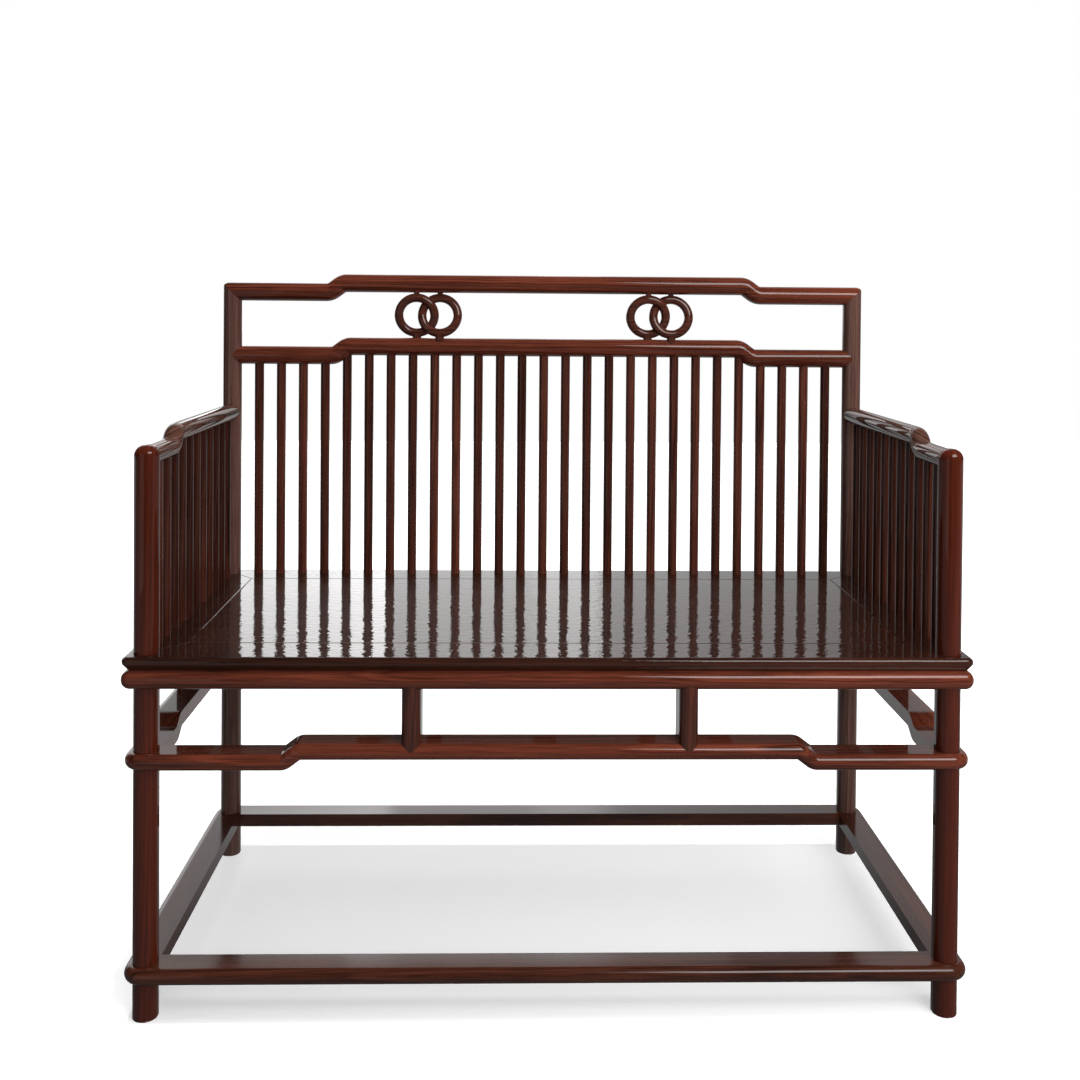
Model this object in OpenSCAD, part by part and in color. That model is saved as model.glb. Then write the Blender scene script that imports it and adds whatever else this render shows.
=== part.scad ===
// Hardwood bench with comb-like back and arms of round spindles.
// All sizes are millimetres. The origin lies on the floor under the middle of the bench,
// X runs to the right, Y to the back and Z up.

/* [Overall] */
// Distance between the centres of the left and right legs
leg_span_x = 1004; // [820:1:1300]
// Distance between the centres of the front and rear legs
leg_span_y = 435; // [400:1:560]
// Height of the seat above the floor
seat_h = 455; // [430:1:500]
// Height of the middle back rail's ends above the seat, at their centre line
mid_rail_h = 352; // [320:1:420]
// Height of the crest rail above the middle rail, between centre lines
crest_gap = 102; // [101:0.5:108]
// Height of the arm rails' low front ends above the seat, at their centre line
arm_h = 244; // [220:0.5:260]

/* [Legs and posts] */
// Width and depth of a leg below the seat
leg_w = 31; // [30:0.5:34]
// Depth of a leg's two flat inner faces, the rest of its outline is round
leg_flat = 19; // [17:0.5:24]
// Diameter of the posts under the arm rails
arm_post_d = 31; // [28:0.5:31]
// Rounding of the arm posts' tops
arm_post_round = 13; // [8:0.5:13.5]
// Height of the arm posts' tops above the arm rails
arm_post_over = 1.5; // [0.2:0.1:3]
// Diameter of the back posts, the crest rail and the middle rail
back_d = 29; // [27:0.5:30]
// Rounding of the crest rail's outer corners
crest_corner = 12; // [6:0.5:13]

/* [Humpback rails] */
// Bend radius of the crest rail's and the middle rail's steps, along the centre line
back_bend = 20; // [17:0.5:22]
// Length of the straight slope in those steps
back_slope = 11.5; // [6:0.5:16]
// Distance from the post's centre to the crest rail's step
crest_step = 167; // [120:1:180]
// Distance from the post's centre to the middle rail's step
mid_step = 174; // [120:1:180]
// Diameter of the arm rails
arm_d = 26; // [24:0.5:28]
// Bend radius of an arm rail's step, along its centre line
arm_bend = 16; // [15:0.5:18]
// Length of the straight slope in an arm rail's step
arm_slope = 4.5; // [2:0.5:8]
// Distance from the arm post's centre to the arm rail's step
arm_step = 108.5; // [80:0.5:160]

/* [Double rings] */
// Outer diameter of one ring
ring_d = 71.6; // [66:0.2:72]
// Thickness of a ring
ring_tube = 14.2; // [12:0.2:15]
// Distance between the two rings' centres
ring_pitch = 37.4; // [34:0.2:42]
// Lean of each ring, which carries one over the other
ring_lean = 10; // [8:1:12]
// Distance from the middle of the bench to the middle of a ring pair
ring_x = 187.5; // [100:0.5:240]
// Diameter of the pegs on top of the rings
ring_peg_d = 9; // [7:0.5:10]
// Diameter of the feet under the rings
ring_foot_d = 14; // [11:0.5:14]
// Depth of the rings' pegs and feet in the rails
ring_peg_depth = 7; // [6:0.5:8]

/* [Spindles] */
// Diameter of a spindle
spindle_d = 14.5; // [12:0.5:16]
// Distance between neighbouring spindles' centres
spindle_pitch = 35.3; // [30:0.1:45]
// Least distance from a post's centre to the first spindle's centre
spindle_end = 38; // [34:1:50]
// Depth of the spindles' lower ends in the seat frame
spindle_seat = 12; // [8:0.5:14]
// Depth of the spindles' upper ends in the rails
spindle_top = 9; // [6:0.5:11]

/* [Seat] */
// Height of the seat frame's shaped edge
edge_h = 17; // [15:0.5:20]
// Reach of the seat frame beyond the legs
edge_over = 9.5; // [8:0.5:12]
// Radius of the bead along the top of the edge
bead_r = 6; // [5:0.5:6.5]
// How far the edge slants in from the bead to its foot
edge_slant = 7.8; // [6:0.1:8]
// Rounding of the seat frame's corners, seen from above
frame_corner = 8.5; // [8.1:0.1:11]
// Width of the seat frame's members, from their outer edge to the panel
frame_w = 65.5; // [60:0.5:80]
// Thickness of the seat frame's members beside the panel
frame_t = 32; // [30:0.5:38]
// Thickness of the seat panel
panel_t = 12; // [10:0.5:14]
// Gap between the panel and the frame, left for the wood to move
panel_gap = 0.7; // [0.4:0.1:1.5]
// Thickness of the panel's tongue
tongue_t = 5; // [4:0.5:6]
// Reach of the panel's tongue past the panel's edge
tongue_l = 8; // [6:0.5:10]
// Depth of the panel's top lip over its tongue
tongue_lip = 4; // [3:0.5:5]
// Distance between the battens under the panel
batten_pitch = 251; // [180:1:300]
// Width of a batten
batten_w = 32; // [26:1:40]

/* [Moulding under the seat frame] */
// Height of the half-round moulding
moulding_h = 23.5; // [21:0.5:26]
// Reach of the moulding beyond the legs
moulding_over = 11; // [9.5:0.5:13]

/* [Stretchers] */
// Thickness of all stretchers
stretcher_t = 19.5; // [16:0.5:20]
// Height of the humpback stretchers' ends above the floor, at mid thickness
hump_h = 323.6; // [280:0.1:330]
// Bend radius of the humpback stretchers' steps, at mid thickness
hump_bend = 12; // [11:0.5:16]
// Length of the straight slope in the humpback stretchers' steps
hump_slope = 14; // [8:0.5:18]
// Distance from a leg's centre to the step in the front and rear stretchers
hump_step_long = 182; // [120:0.5:200]
// Distance from a leg's centre to the step in the side stretchers
hump_step_short = 89.5; // [75:0.5:110]
// Height of the lower stretchers above the floor, at mid thickness
low_h = 58; // [40:1:120]

/* [Struts] */
// Width of a strut
strut_w = 23.7; // [20:0.1:26]
// Distance from the middle of the bench to a front or rear strut
strut_x = 172; // [100:1:200]

/* [Joints] */
// Clearance around everything that is housed in another piece
fit = 0.15; // [0.1:0.05:0.3]
// Thickness of the stretchers' tenons
tenon_t = 8; // [6:0.5:8]
// Length of the stretchers' tenons
tenon_l = 10; // [8:0.5:10]
// Diameter of the round tenons at the arm rails' ends
arm_tenon_d = 12; // [8:0.5:14]
// Width of the square tenons on top of the back posts
post_tenon_w = 10; // [8:0.5:12]
// Width of the square tenons at the middle rail's ends
mid_tenon_w = 10; // [8:0.5:12]
// Width of the square tenons at the struts' ends
strut_tenon_w = 9; // [7:0.5:11]

/* [Hidden] */
$fn = 72;

wood = [0.27, 0.12, 0.08];
dark_wood = [0.22, 0.10, 0.07];
seat_wood = [0.31, 0.15, 0.10];

// Half spans, and the leg's section
hx = leg_span_x / 2;
hy = leg_span_y / 2;
leg_r = leg_w / 2;
// The round outline of a leg is a circle whose centre lies this far towards the inner corner
leg_shift = pow(sqrt(leg_r) - sqrt(leg_w - leg_flat), 2);

// Heights
frame_under = seat_h - edge_h;
frame_low = seat_h - frame_t;
moulding_z = frame_under - moulding_h;
mid_z = seat_h + mid_rail_h;
crest_z = mid_z + crest_gap;
arm_z = seat_h + arm_h;
back_r = back_d / 2;
arm_r = arm_d / 2;
arm_top = arm_z + arm_r + arm_post_over;
nose_r = stretcher_t / 2;
moulding_r = moulding_h / 2;

// A step is given as [bend radius, length of its slope, down, along], and its last two values
// are the short sides of a triangle with sides of 3, 4 and 5, at a fifth of that size
back_way = [back_bend, back_slope, 0.6, 0.8];
arm_way = [arm_bend, arm_slope, 0.8, 0.6];
hump_way = [hump_bend, hump_slope, 0.6, 0.8];
function step_rise(way) = 2 * way[0] * (1 - way[3]) + way[1] * way[2];
function step_run(way) = 2 * way[0] * way[2] + way[1] * way[3];
// Height of a stepped rail's centre line at a distance past the end of its high stretch
function step_height(past, way) =
    past <= 0 ? step_rise(way)
    : past >= step_run(way) ? 0
    : step_rise(way) * (1 + cos(180 * past / step_run(way))) / 2;
back_rise = step_rise(back_way);
arm_rise = step_rise(arm_way);
hump_rise = step_rise(hump_way);

// Spindle rows
function row_count(span) = floor((span - 2 * spindle_end) / spindle_pitch) + 1;
function row_place(span, i) = (i - (row_count(span) - 1) / 2) * spindle_pitch;
spindle_foot = seat_h - spindle_seat;
function back_spindle_top(x) = mid_z - back_r + spindle_top
    + step_height(abs(x) - (hx - mid_step - step_run(back_way) / 2), back_way);
function arm_spindle_top(y) = arm_z - arm_r + spindle_top
    + step_height(arm_step + step_run(arm_way) / 2 - hy - y, arm_way);

// Seat frame, measured from a leg's centre line
edge_out = leg_r + edge_over;
frame_in = frame_w - edge_out;
edge_turn = edge_out - frame_corner;
panel_x = hx - frame_in;
panel_y = hy - frame_in;
panel_under = seat_h - panel_t;
tongue_z = seat_h - tongue_lip - tongue_t;
moulding_turn = leg_r + moulding_over - moulding_r;
batten_tenon_l = 12;
batten_key_h = 3.5;
batten_key_w = 20;
batten_key_slant = 2;
frame_tenon_t = 8;
frame_tenon_z = frame_low + frame_tenon_t / 2;
frame_tenon_wall = 6;

// Ring pairs
ring_line = (ring_d - ring_tube) / 2;
ring_z = (mid_z + crest_z) / 2 + back_rise;
ring_peg_y = ring_line * sin(ring_lean);
ring_peg_end = crest_gap / 2 - back_r + ring_peg_depth;

// Struts
strut_bulge_r = (pow(strut_w / 2, 2) + pow(nose_r, 2)) / (2 * nose_r);

// Space between a post's centre line and the end of an arm rail's tenon
arm_tenon_end = 3;
// Distance by which the middle rail's tenons pass the back posts' centre lines
mid_tenon_past = back_r / 3;
// Reach of a straight stretch's core into the bend beside it, which keeps the two in one piece
core_reach = 1;

// Mirrors the front left corner's piece to another corner
module corner(right, rear) {
    mirror([right ? 1 : 0, 0, 0]) mirror([0, rear ? 1 : 0, 0]) children();
}

// Turns a piece made for the front, with its outer face towards -Y, to a side of the bench
module side(name) {
    if (name == "front") translate([0, -hy, 0]) children();
    if (name == "rear") translate([0, hy, 0]) rotate([0, 0, 180]) children();
    if (name == "left") translate([-hx, 0, 0]) rotate([0, 0, -90]) children();
    if (name == "right") translate([hx, 0, 0]) rotate([0, 0, 90]) children();
}

// Straight run along X of a section whose X is up and whose Y faces the front
module run(len) {
    rotate([90, 0, 90]) {
        linear_extrude(len) children();
        translate([0, 0, -core_reach]) linear_extrude(len + 2 * core_reach) scale(0.5) children();
    }
}

// Bend from straight on to a step's slope, cut from an exact quarter turn about Z
module step_bend(way) {
    big = 4 * way[0];
    intersection() {
        rotate_extrude(angle = 90) translate([way[0], 0]) children();
        rotate([0, 0, atan2(way[3], way[2])]) translate([0, 0, -big]) cube([big, big, 2 * big]);
    }
}

// Step that starts at its full rise and falls along X to a height of 0
module step_down(way) {
    translate([0, step_rise(way) - way[0], 0]) step_bend(way) children();
    translate([way[0] * way[2], step_rise(way) - way[0] * (1 - way[3]), 0])
        rotate([0, 0, -atan2(way[2], way[3])]) run(way[1]) children();
    translate([step_run(way), way[0], 0]) rotate([0, 0, 180]) step_bend(way) children();
}

// Humpback bar along X, centred, with its raised stretch between the two steps
module humpback(half, step, way) {
    high = half - step - step_run(way) / 2;
    low = step - step_run(way) / 2;
    rotate([90, 0, 0]) {
        translate([-high, step_rise(way), 0]) run(2 * high) children();
        for (flip = [0, 1]) mirror([flip, 0, 0]) {
            translate([high, 0, 0]) step_down(way) children();
            translate([half - low, 0, 0]) run(low) children();
        }
    }
}

// Arm rail's bar, low at the arm post and high at the back post, along Y
module arm_bar() {
    low = arm_step - step_run(arm_way) / 2;
    high = leg_span_y - arm_step - step_run(arm_way) / 2;
    rotate([90, 0, -90]) translate([-hy, 0, 0]) {
        translate([0, arm_rise, 0]) run(high) circle(r = arm_r);
        translate([high, 0, 0]) step_down(arm_way) circle(r = arm_r);
        translate([leg_span_y - low, 0, 0]) run(low) circle(r = arm_r);
    }
}

// Outline of the front left leg, seen from above: round outside, square inside
module leg_outline(grow = 0) {
    intersection() {
        square(leg_w + 2 * grow, center = true);
        translate([leg_shift, leg_shift]) circle(r = leg_r + leg_shift + grow);
    }
}

// All four legs below the seat frame, as cutters
module leg_cuts() {
    for (right = [false, true], rear = [false, true]) corner(right, rear)
        translate([-hx, -hy, -1]) linear_extrude(frame_under + 1 + fit) leg_outline(fit);
}

// Arm post with its rounded top
module arm_post(grow = 0) {
    r = arm_post_d / 2 + grow;
    top = arm_top + grow;
    rotate_extrude() {
        square([r, top - arm_post_round]);
        square([r - arm_post_round, top]);
        translate([r - arm_post_round, top - arm_post_round]) intersection() {
            circle(r = arm_post_round);
            square(arm_post_round);
        }
    }
}

// Tenon hole in a leg for a stretcher, along X from the leg's centre line
module tenon(grow = 0) {
    translate([leg_r - tenon_l - grow, -tenon_t / 2 - grow, -nose_r / 2 - grow])
        cube([tenon_l + 2 * grow + 1, tenon_t + 2 * grow, nose_r + 2 * grow]);
}

module leg_mortises() {
    for (z = [hump_h, low_h]) translate([0, 0, z]) {
        tenon(fit);
        mirror([1, -1, 0]) tenon(fit);
    }
}

// Front leg of the left side, with its arm post in one piece
module front_leg() {
    translate([-hx, -hy, 0]) difference() {
        union() {
            linear_extrude(frame_under) leg_outline();
            arm_post();
        }
        leg_mortises();
        translate([0, 0, arm_z]) rotate([-90, 0, 0])
            cylinder(d = arm_tenon_d + 2 * fit, h = arm_post_d);
    }
}

// Rear leg of the left side, with its back post in one piece
module rear_leg() {
    top = crest_z + back_r;
    difference() {
        union() {
            translate([-hx, hy, 0]) mirror([0, 1, 0]) linear_extrude(frame_under) leg_outline();
            difference() {
                translate([-hx, hy, 0]) cylinder(d = back_d, h = top);
                crest_mitre(1);
            }
            translate([-hx, hy, crest_z - back_r]) post_tenon();
        }
        translate([-hx, hy, 0]) mirror([0, 1, 0]) leg_mortises();
        translate([-hx, hy, mid_z]) mid_tenon(fit);
        translate([-hx, hy, arm_z + arm_rise]) rotate([90, 0, 0])
            cylinder(d = arm_tenon_d + 2 * fit, h = back_d);
        crest_rounding();
    }
}

// Square tenon on top of a back post, which rises into the crest rail's mitred end
module post_tenon(grow = 0) {
    w = post_tenon_w + 2 * grow;
    translate([-w / 2, -w / 2, 0]) cube([w, w, back_r + back_r / 2 + grow]);
}

// Tenon of the middle rail, from its end into the back post on the left
module mid_tenon(grow = 0) {
    w = mid_tenon_w + 2 * grow;
    translate([-mid_tenon_past - grow, -w / 2, -w / 2]) cube([back_d, w, w]);
}

// Half space on one side of the left crest mitre: 1 is the rail's side, -1 the post's
module crest_mitre(keep) {
    big = 4 * back_d;
    translate([-hx, hy, crest_z]) rotate([0, keep > 0 ? 45 : 225, 0])
        translate([-big / 2, -big / 2, 0]) cube([big, big, big]);
}

// Rounds the outer corner of the left crest mitre, seen from the front
module crest_rounding() {
    c = crest_corner;
    inset = 0.97 * c;
    translate([-hx - back_r, hy + back_d, crest_z + back_r]) rotate([90, 0, 0])
        linear_extrude(2 * back_d) difference() {
            translate([-1, -inset]) square([inset + 1, inset + 1]);
            translate([inset, -inset]) circle(r = c);
        }
}

module crest_rail() {
    color(wood) difference() {
        translate([0, hy, crest_z])
            humpback(hx + back_r, crest_step + back_r, back_way) circle(r = back_r);
        for (flip = [0, 1]) mirror([flip, 0, 0]) {
            crest_mitre(-1);
            crest_rounding();
            translate([-hx, hy, crest_z - back_r]) post_tenon(fit);
        }
        ring_sockets();
    }
}

module middle_back_rail() {
    color(wood) difference() {
        union() {
            difference() {
                translate([0, hy, mid_z]) humpback(hx, mid_step, back_way) circle(r = back_r);
                for (s = [-1, 1]) translate([s * hx, hy, mid_z - back_d])
                    cylinder(r = back_r + fit, h = 2 * back_d);
            }
            for (flip = [0, 1]) mirror([flip, 0, 0]) translate([-hx, hy, mid_z]) mid_tenon();
        }
        back_row(fit);
        ring_sockets();
    }
}

// Row of back spindles, or of the bores that hold them
module back_row(grow = 0) {
    for (i = [0 : row_count(leg_span_x) - 1]) {
        x = row_place(leg_span_x, i);
        translate([x, hy, spindle_foot - grow])
            cylinder(d = spindle_d + 2 * grow, h = back_spindle_top(x) - spindle_foot + 2 * grow);
    }
}

// Row of the left arm's spindles, or of the bores that hold them
module arm_row(grow = 0) {
    for (i = [0 : row_count(leg_span_y) - 1]) {
        y = row_place(leg_span_y, i);
        translate([-hx, y, spindle_foot - grow])
            cylinder(d = spindle_d + 2 * grow, h = arm_spindle_top(y) - spindle_foot + 2 * grow);
    }
}

// Pegs and feet of one ring pair, or the sockets for them in both back rails
module ring_pegs(grow = 0) {
    start = ring_line * cos(ring_lean);
    for (s = [-1, 1]) {
        translate([s * ring_pitch / 2, s * ring_peg_y, start])
            cylinder(d = ring_peg_d + 2 * grow, h = ring_peg_end - start + grow);
        translate([s * ring_pitch / 2, -s * ring_peg_y, -ring_peg_end - grow])
            cylinder(d = ring_foot_d + 2 * grow, h = ring_peg_end - start + grow);
    }
}

module ring_sockets() {
    for (s = [-1, 1]) translate([s * ring_x, hy, ring_z]) ring_pegs(fit);
}

// Two leaning rings carved from one block: the left one passes in front at the top
module double_ring() {
    color(dark_wood) {
        for (s = [-1, 1]) translate([s * ring_pitch / 2, 0, 0]) rotate([90 - s * ring_lean, 0, 0])
            rotate_extrude() translate([ring_line, 0]) circle(d = ring_tube);
        ring_pegs();
    }
}

// Arm rail of the left side
module arm_rail() {
    color(wood) difference() {
        union() {
            difference() {
                translate([-hx, 0, arm_z]) arm_bar();
                translate([-hx, -hy, 0]) arm_post(fit);
                translate([-hx, hy, arm_z - arm_d]) cylinder(r = back_r + fit, h = 3 * arm_d);
            }
            translate([-hx, arm_tenon_end - hy, arm_z]) rotate([-90, 0, 0])
                cylinder(d = arm_tenon_d, h = arm_post_d / 2);
            translate([-hx, hy - arm_tenon_end, arm_z + arm_rise]) rotate([90, 0, 0])
                cylinder(d = arm_tenon_d, h = back_r);
        }
        arm_row(fit);
    }
}

// Profile of the seat frame's members: X is outward from the corner's turning line
module frame_profile() {
    // Line from the foot of the slant that touches the bead
    foot = [frame_corner - edge_slant, 0];
    bead = [frame_corner - bead_r, edge_h - bead_r];
    reach = norm(bead - foot);
    lean = atan2(bead[1] - foot[1], bead[0] - foot[0]) - asin(bead_r / reach);
    touch = sqrt(reach * reach - bead_r * bead_r);
    inner = -frame_in - edge_turn;
    step = -leg_r - edge_turn;
    translate([0, frame_under]) {
        polygon([
            [inner, edge_h - frame_t], [step, edge_h - frame_t], [step, 0], foot,
            foot + touch * [cos(lean), sin(lean)], bead, [bead[0], edge_h], [inner, edge_h]
        ]);
        translate(bead) circle(r = bead_r);
    }
}

// Profile of the moulding
module moulding_profile() {
    inner = -leg_r - moulding_turn;
    translate([0, moulding_z]) {
        translate([inner, 0]) square([-inner, moulding_h]);
        translate([0, moulding_r]) circle(r = moulding_r);
    }
}

// Profile of a stretcher's rounded turn about a leg's centre
module turn_profile() {
    square([leg_r, stretcher_t]);
    translate([leg_r, nose_r]) circle(r = nose_r);
}

// Both rounded ends of a member for the front, turned about vertical lines
module turned_ends(half, turn) {
    for (flip = [0, 1]) mirror([flip, 0, 0]) translate([half + turn, -turn, 0])
        rotate([0, 0, -90]) rotate_extrude(angle = 90) intersection() {
            children();
            translate([0, -1]) square([frame_w, seat_h + 2]);
        }
}

// Plan of a member that is mitred at both ends through the legs' centres
module mitre_plan(half) {
    reach = 2 * frame_w;
    translate([0, 0, -1]) linear_extrude(seat_h + 2) polygon([
        [-half - reach, -reach], [half + reach, -reach], [half - reach, reach], [reach - half, reach]
    ]);
}

// Straight member for the front, with its profile turned round the corners and mitred
module mitred_member(half, turn) {
    intersection() {
        union() {
            translate([half + turn, -turn, 0]) rotate([90, 0, -90])
                linear_extrude(2 * (half + turn)) children();
            turned_ends(half, turn) children();
        }
        mitre_plan(half);
    }
}

// Seat frame member on one side, bored for its spindles, legs, battens and panel
module seat_rail(name) {
    long = name == "front" || name == "rear";
    half = long ? hx : hy;
    color(seat_wood) difference() {
        union() {
            side(name) mitred_member(half, edge_turn) frame_profile();
            if (long) for (flip = [0, 1]) side(name) mirror([flip, 0, 0]) frame_tenon(half);
        }
        for (right = [false, true]) {
            corner(right, false) translate([-hx, -hy, frame_low - 1])
                cylinder(d = arm_post_d + 2 * fit, h = frame_t + 2);
            corner(right, true) translate([-hx, -hy, frame_low - 1])
                cylinder(d = back_d + 2 * fit, h = frame_t + 2);
        }
        leg_cuts();
        panel_tongue(fit, 1);
        if (name == "rear") back_row(fit);
        if (name == "left") arm_row(fit);
        if (name == "right") mirror([1, 0, 0]) arm_row(fit);
        if (long) for (i = [-1, 0, 1]) translate([i * batten_pitch, 0, 0]) batten_tenon(fit);
        if (!long) for (end = ["front", "rear"], flip = [0, 1])
            side(end) mirror([flip, 0, 0]) frame_tenon(hx, fit);
    }
}

// Tenon at the right end of a long seat rail, which enters the side rail past the mitre
module frame_tenon(half, grow = 0) {
    near = leg_r + frame_tenon_wall;
    far = frame_in - frame_tenon_wall;
    long = far - leg_r - frame_tenon_wall / 2;
    translate([half - far - grow, near - grow, frame_tenon_z - grow])
        cube([long + 2 * grow, far - near + 2 * grow, frame_tenon_t + 2 * grow]);
}

// Flat tongue around the panel, with room past its edge when it is used as a cutter
module panel_tongue(grow = 0, room = 0) {
    x = panel_x + tongue_l + room;
    y = panel_y + tongue_l + room;
    translate([-x, -y, tongue_z - grow]) cube([2 * x, 2 * y, tongue_t + 2 * grow]);
}

// Dovetail key along the top of a batten, which holds the panel flat
module batten_key(half_length, grow = 0) {
    foot = batten_key_w / 2 - batten_key_slant + grow;
    head = batten_key_w / 2 + grow;
    up = batten_key_h + grow;
    translate([0, half_length, panel_under]) rotate([90, 0, 0]) linear_extrude(2 * half_length)
        polygon([[-foot, -1], [foot, -1], [head, up], [-head, up]]);
}

// Tenons at both ends of a batten
module batten_tenon(grow = 0) {
    y = panel_y + batten_tenon_l + grow;
    w = batten_key_w + 2 * grow;
    translate([-w / 2, -y, frame_tenon_z - grow]) cube([w, 2 * y, frame_tenon_t + 2 * grow]);
}

module seat_panel() {
    x = panel_x - panel_gap;
    y = panel_y - panel_gap;
    color(seat_wood) difference() {
        union() {
            translate([-x, -y, panel_under]) cube([2 * x, 2 * y, panel_t]);
            panel_tongue();
        }
        for (i = [-1, 0, 1]) translate([i * batten_pitch, 0, 0])
            batten_key(panel_y + tongue_l + 1, fit);
    }
}

module batten(i) {
    color(dark_wood) translate([i * batten_pitch, 0, 0]) {
        translate([-batten_w / 2, -panel_y, frame_low])
            cube([batten_w, 2 * panel_y, panel_under - frame_low]);
        batten_key(panel_y);
        batten_tenon();
    }
}

module moulding(name) {
    long = name == "front" || name == "rear";
    half = long ? hx : hy;
    color(wood) difference() {
        side(name) mitred_member(half, moulding_turn) moulding_profile();
        leg_cuts();
        strut_tenons(fit);
    }
}

// Section of a stretcher: X is up, Y faces outward, round on the outside
module stretcher_section() {
    translate([-nose_r, -leg_r]) square([stretcher_t, leg_w]);
    translate([0, leg_r]) circle(r = nose_r);
}

// Stretcher that wraps round the legs: mitred outside them and tenoned into them
module wrap_stretcher(half, z) {
    difference() {
        intersection() {
            translate([0, 0, z]) union() {
                children();
                translate([0, 0, -nose_r]) turned_ends(half, 0) turn_profile();
            }
            mitre_plan(half);
        }
        translate([-half, 0, 0]) linear_extrude(seat_h) leg_outline(fit);
        mirror([1, 0, 0]) translate([-half, 0, 0]) linear_extrude(seat_h) leg_outline(fit);
    }
    for (flip = [0, 1]) mirror([flip, 0, 0]) translate([-half, 0, z]) tenon();
}

module hump_stretcher(name) {
    long = name == "front" || name == "rear";
    half = long ? hx : hy;
    color(wood) difference() {
        side(name) wrap_stretcher(half, hump_h)
            humpback(half, long ? hump_step_long : hump_step_short, hump_way) stretcher_section();
        strut_tenons(fit);
    }
}

module low_stretcher(name) {
    half = name == "front" || name == "rear" ? hx : hy;
    color(wood) side(name) wrap_stretcher(half, low_h)
        rotate([90, 0, 0]) translate([-half, 0, 0]) run(2 * half) stretcher_section();
}

// Outline of a strut seen from above: bulged like the stretchers' outer face
module strut_outline() {
    translate([-strut_w / 2, -leg_r]) square([strut_w, leg_w]);
    intersection() {
        translate([0, strut_bulge_r - nose_r - leg_r]) circle(r = strut_bulge_r);
        translate([-strut_w / 2, -leg_r - nose_r]) square([strut_w, nose_r + 1]);
    }
}

// Strut for the front side, shaped at both ends over the round faces that it meets
module strut_body() {
    high = hump_h + hump_rise;
    difference() {
        translate([0, 0, high]) linear_extrude(moulding_z + moulding_r - high) strut_outline();
        translate([-strut_w, -leg_r, high]) rotate([0, 90, 0])
            cylinder(r = nose_r + fit, h = 2 * strut_w);
        translate([-strut_w, -leg_r, high - 1]) cube([2 * strut_w, leg_w + 1, nose_r + 1]);
        translate([-strut_w, -moulding_turn, moulding_z + moulding_r]) rotate([0, 90, 0])
            cylinder(r = moulding_r + fit, h = 2 * strut_w);
        translate([-strut_w, -moulding_turn, moulding_z])
            cube([2 * strut_w, moulding_turn + leg_w, moulding_r + 1]);
    }
}

module strut_tenon(grow = 0) {
    w = strut_tenon_w + 2 * grow;
    low = hump_h + hump_rise + nose_r - strut_tenon_w - grow;
    high = moulding_z + strut_tenon_w + grow;
    translate([-w / 2, -w / 2, low]) cube([w, w, high - low]);
}

module strut_tenons(grow = 0) {
    for (name = ["front", "rear"], s = [-1, 1])
        side(name) translate([s * strut_x, 0, 0]) strut_tenon(grow);
    for (name = ["left", "right"]) side(name) strut_tenon(grow);
}

module strut(name, x) {
    color(dark_wood) side(name) translate([x, 0, 0]) {
        strut_body();
        strut_tenon();
    }
}

color(wood) front_leg();  // front_left_leg
color(wood) mirror([1, 0, 0]) front_leg();  // front_right_leg
color(wood) rear_leg();  // rear_left_leg
color(wood) mirror([1, 0, 0]) rear_leg();  // rear_right_leg
crest_rail();
middle_back_rail();
translate([-ring_x, hy, ring_z]) double_ring();  // left_double_ring
translate([ring_x, hy, ring_z]) double_ring();  // right_double_ring
color(dark_wood) back_row();  // back_spindles
arm_rail();  // left_arm_rail
mirror([1, 0, 0]) arm_rail();  // right_arm_rail
color(dark_wood) arm_row();  // left_arm_spindles
color(dark_wood) mirror([1, 0, 0]) arm_row();  // right_arm_spindles
seat_rail("front");  // front_seat_rail
seat_rail("rear");  // rear_seat_rail
seat_rail("left");  // left_seat_rail
seat_rail("right");  // right_seat_rail
seat_panel();
batten(-1);  // left_batten
batten(0);  // middle_batten
batten(1);  // right_batten
moulding("front");  // front_moulding
moulding("rear");  // rear_moulding
moulding("left");  // left_moulding
moulding("right");  // right_moulding
hump_stretcher("front");  // front_hump_stretcher
hump_stretcher("rear");  // rear_hump_stretcher
hump_stretcher("left");  // left_hump_stretcher
hump_stretcher("right");  // right_hump_stretcher
strut("front", -strut_x);  // front_left_strut
strut("front", strut_x);  // front_right_strut
strut("rear", strut_x);  // rear_left_strut
strut("rear", -strut_x);  // rear_right_strut
strut("left", 0);  // left_side_strut
strut("right", 0);  // right_side_strut
low_stretcher("front");  // front_low_stretcher
low_stretcher("rear");  // rear_low_stretcher
low_stretcher("left");  // left_low_stretcher
low_stretcher("right");  // right_low_stretcher
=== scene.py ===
"""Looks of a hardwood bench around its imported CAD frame, laid out as a Blender add-on."""

import math

import bpy
from mathutils import Matrix, Vector


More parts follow.
